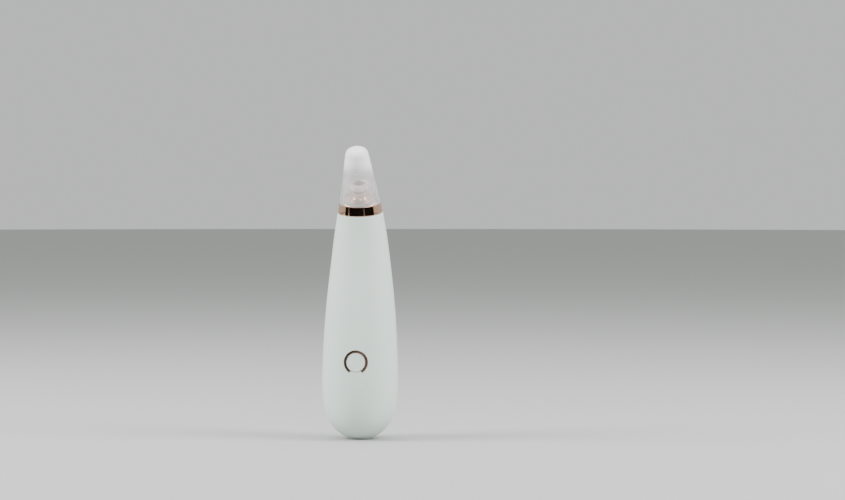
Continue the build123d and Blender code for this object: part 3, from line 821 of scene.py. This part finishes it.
def makeSpigot():
    base, top = seat["stepHeight"], spigot["length"]
    floor, foot = top - spigot["recessDepth"], base - spigot["sink"]
    corners = [
        (spigot["recess"], floor),
        (spigot["recess"], top, spigot["recessRound"]),
        (spigot["radius"], top, spigot["topRound"]),
    ]
    corners += [(radius, base + height, edge) for radius, height, edge in spigot["flank"]]
    corners.append((corners[-1][0], foot))
    outline = [(0, floor)] + rounded(corners, 5) + [(0, foot)]
    bm = place(spun(outline, False, 128), seatFrame)
    meshPiece(bm, "spigotRing", "casing", "rose_gold", "spigot", sharp=30)


probe = {
    "lift": 0.02,
    "bell": 10.5,
    "bellBore": 9.2,
    "bellStep": 1.6,
    "bellRim": (0.1, 0.7),  # its chamfer and its height
    "outerBulge": (8.2, 3.95),
    "innerTop": 6.8,
    "innerBulge": (5.6, 5.5),
    "innerFoot": (7.6, 3.0),
    "shoulder": 7.0,
    "tip": 5.3,
    "length": 10.9,
    "neck": 4.3,
    "neckBore": 3.6,
    "neckSunk": 1,
    "mouth": 3.35,
    "lipRound": (0.2, 0.78, 0.5, 0.15),  # from its foot round to inside its mouth
}


def arcThrough(first, middle, last, count):
    # points on the circle through three points, the ends left out
    (ax, ay), (bx, by), (cx, cy) = first, middle, last
    d = 2 * (ax * (by - cy) + bx * (cy - ay) + cx * (ay - by))
    a2, b2, c2 = ax * ax + ay * ay, bx * bx + by * by, cx * cx + cy * cy
    x = (a2 * (by - cy) + b2 * (cy - ay) + c2 * (ay - by)) / d
    y = (a2 * (cx - bx) + b2 * (ax - cx) + c2 * (bx - ax)) / d
    radius = math.hypot(ax - x, ay - y)
    start, end = math.atan2(ay - y, ax - x), math.atan2(cy - y, cx - x)
    turn = (end - start + math.pi) % (2 * math.pi) - math.pi
    angles = [start + turn * k / (count + 1) for k in range(1, count + 1)]
    return [(x + radius * math.cos(a), y + radius * math.sin(a)) for a in angles]


def makeProbe():
    stand = seatFrame @ Matrix.Translation((0, 0, probe["lift"] * mm))
    bell, tip, neck, bore = probe["bell"], probe["tip"], probe["neck"], probe["neckBore"]
    top, shoulder = probe["length"] - probe["neckSunk"], probe["shoulder"]
    bevel, rim = probe["bellRim"]
    innerTop, innerFoot = (bore, probe["innerTop"]), probe["innerFoot"]
    outline = [(probe["bellBore"], 0), (bell - bevel, 0), (bell, bevel), (bell, rim)]
    outline += arcThrough((bell, rim), probe["outerBulge"], (tip, shoulder), 14)
    outline += [(tip, shoulder), (neck, shoulder), (neck, top), (bore, top), innerTop]
    outline += arcThrough(innerTop, probe["innerBulge"], innerFoot, 10)
    outline += [innerFoot, (probe["bellBore"], probe["bellStep"])]
    bm = place(spun(outline, True, 144), stand)
    meshPiece(bm, "probeBell", "probe", "clear_probe", "probe_bell", sharp=40)
    footRound, outerRound, innerRound, boreRound = probe["lipRound"]
    corners = [
        (neck, shoulder),
        (tip, shoulder, footRound),
        (tip, probe["length"], outerRound),
        (probe["mouth"], probe["length"], innerRound),
        (probe["mouth"], top, boreRound),
        (neck, top),
    ]
    bm = place(spun(rounded(corners, 8), True, 128), stand)
    meshPiece(bm, "probeLip", "probe", "probe_silicone", "probe_lip")


def makeShells():
    front, rear = halfShell("frontShell", -1), halfShell("rearShell", 1)
    hole = scratch(drill(button["bore"], 0, button["height"], -1, 96), "hole")
    outerGap, innerGap = button["rebateGap"]
    outer, inner = button["ringOuter"] + outerGap, button["ringInner"] - innerGap
    rebate = ringSector(outer, inner, *button["rebate"], 0)
    carve(front, [hole, scratch(rebate, "rebate")])
    cutters = [scratch(slotCutter(*casing["portSize"], casing["portHeight"]), "port")]
    for k in range(casing["ventCount"] + 1):  # one in the middle, the others round it
        ring = casing["ventRing"] if k else 0
        angle = 2 * math.pi / casing["ventCount"] * k
        x, z = ring * math.cos(angle), casing["ventHeight"] + ring * math.sin(angle)
        cutters.append(scratch(drill(casing["ventRadius"], x, z, 1), "vent"))
    carve(rear, cutters)
    dress(front, "casing", "casing_white", "front_shell", sharp=30)
    dress(rear, "casing", "casing_white", "rear_shell", sharp=30)


makeShells()
print("casing made")
makeButton()
print("button made")
makeCollar()
makeSeat()
makeSpigot()
makeProbe()
makeCap()
print("head made")


studio = {
    "floor": rgb(0.46, 0.47, 0.46),
    "floorShade": rgb(0.44, 0.45, 0.44),
    "floorRadius": 6.0,
    "world": rgb(0.90, 0.93, 0.91),
    "worldStrength": 0.72,
    "lightAim": (0, 0, 0.09),
    "lights": {  # place, size, power, and whether reflections show it
        "leftSoftbox": ((-1.1, -0.35, 0.8), (0.7, 1.0), 32.0, False),
        "rightSoftbox": ((1.1, -0.25, 0.8), (0.7, 1.0), 27.2, False),
        "topSoftbox": ((0, 0.2, 1.4), (1.0, 1.0), 11.0, True),
        "frontFill": ((0.3, -1.6, 0.9), (0.6, 0.6), 8.0, True),
    },
    "screenRadius": 0.42,
    "screenSpan": (-0.02, 0.46),
    "screenFrom": -76.0,
    "screenTo": 82.0,
    "slits": ((-54.0, 2.2), (27.0, 1.2)),
}


def makeFloor():
    bm = bmesh.new()
    bmesh.ops.create_circle(bm, cap_ends=True, segments=96, radius=studio["floorRadius"])
    obj = scratch(bm, "floor")
    graph = Graph("paleFloor")
    cloud = graph.noise(3.0, 4.0)
    fine = graph.noise(220.0, 3.0)
    colour = graph.mix(cloud, studio["floor"], studio["floorShade"])
    normal = graph.bump(fine, 0.05 * mm, 0.2)
    obj.data.materials.append(graph.finish(colour=colour, rough=fine * 0.1 + 0.6, normal=normal))


def areaLight(name, spot, size, power, reflected):
    light = bpy.data.lights.new(name, "AREA")
    light.shape = "RECTANGLE"
    light.size, light.size_y = size
    light.energy = power
    obj = bpy.data.objects.new(name, light)
    bpy.context.scene.collection.objects.link(obj)
    obj.location = spot
    toward = Vector(studio["lightAim"]) - Vector(spot)
    obj.rotation_euler = toward.to_track_quat("-Z", "Y").to_euler()
    obj.visible_glossy = reflected


def makeDarkScreen():
    # a black screen round the front that only reflections see: it gives the plated ring its
    # dark middle, and the narrow slits in it give the thin bright streaks
    edges = [studio["screenFrom"]]
    for middle, width in studio["slits"]:
        edges += [middle - width / 2, middle + width / 2]
    edges.append(studio["screenTo"])
    bm = bmesh.new()
    for start, end in zip(edges[::2], edges[1::2]):
        low, high = (bm.verts.new((0, -studio["screenRadius"], z)) for z in studio["screenSpan"])
        bmesh.ops.rotate(bm, verts=[low, high], matrix=Matrix.Rotation(math.radians(start), 3, "Z"))
        side = bm.edges.new((low, high))
        sweep = math.radians(end - start)
        bmesh.ops.spin(
            bm, geom=[low, high, side], cent=(0, 0, 0), axis=(0, 0, 1), angle=sweep, steps=24
        )
    obj = scratch(bm, "darkScreen")
    graph = Graph("blackFelt")
    felt = graph.noise(500.0, 3.0)
    colour = graph.mix(felt, rgb(0.003, 0.003, 0.003), rgb(0.008, 0.008, 0.008))
    obj.data.materials.append(graph.finish(colour=colour, rough=0.95, specular=0.0))
    obj.visible_camera = False
    obj.visible_diffuse = False
    obj.visible_transmission = False
    obj.visible_shadow = False
    obj.visible_volume_scatter = False


camera = {
    "azimuth": 7.0,
    "elevation": 2.5,
    "distance": 1.69,
    "look": (0, 0, 0.0878),
    "lens": 120,
    "sensor": 36,
    "clip": (0.05, 30),
    "shift": (0.07377, 0.05049),  # the object stands left of the middle and a little low
}


def makeCamera():
    azimuth, elevation = math.radians(camera["azimuth"]), math.radians(camera["elevation"])
    level = math.cos(elevation)
    back = Vector((math.sin(azimuth) * level, -math.cos(azimuth) * level, math.sin(elevation)))
    lens = bpy.data.cameras.new("camera")
    lens.lens = camera["lens"]
    lens.sensor_width = camera["sensor"]
    lens.clip_start, lens.clip_end = camera["clip"]
    lens.shift_x, lens.shift_y = camera["shift"]
    obj = bpy.data.objects.new("camera", lens)
    bpy.context.scene.collection.objects.link(obj)
    obj.location = Vector(camera["look"]) + back * camera["distance"]
    obj.rotation_euler = back.to_track_quat("Z", "Y").to_euler()
    bpy.context.scene.camera = obj


def makeWorld():
    world = bpy.data.worlds.new("studio")
    world.use_nodes = True
    background = world.node_tree.nodes["Background"]
    background.inputs["Color"].default_value = studio["world"]
    background.inputs["Strength"].default_value = studio["worldStrength"]
    bpy.context.scene.world = world


makeFloor()
makeDarkScreen()
makeWorld()
for name, setup in studio["lights"].items():
    areaLight(name, *setup)
makeCamera()
print("studio made")
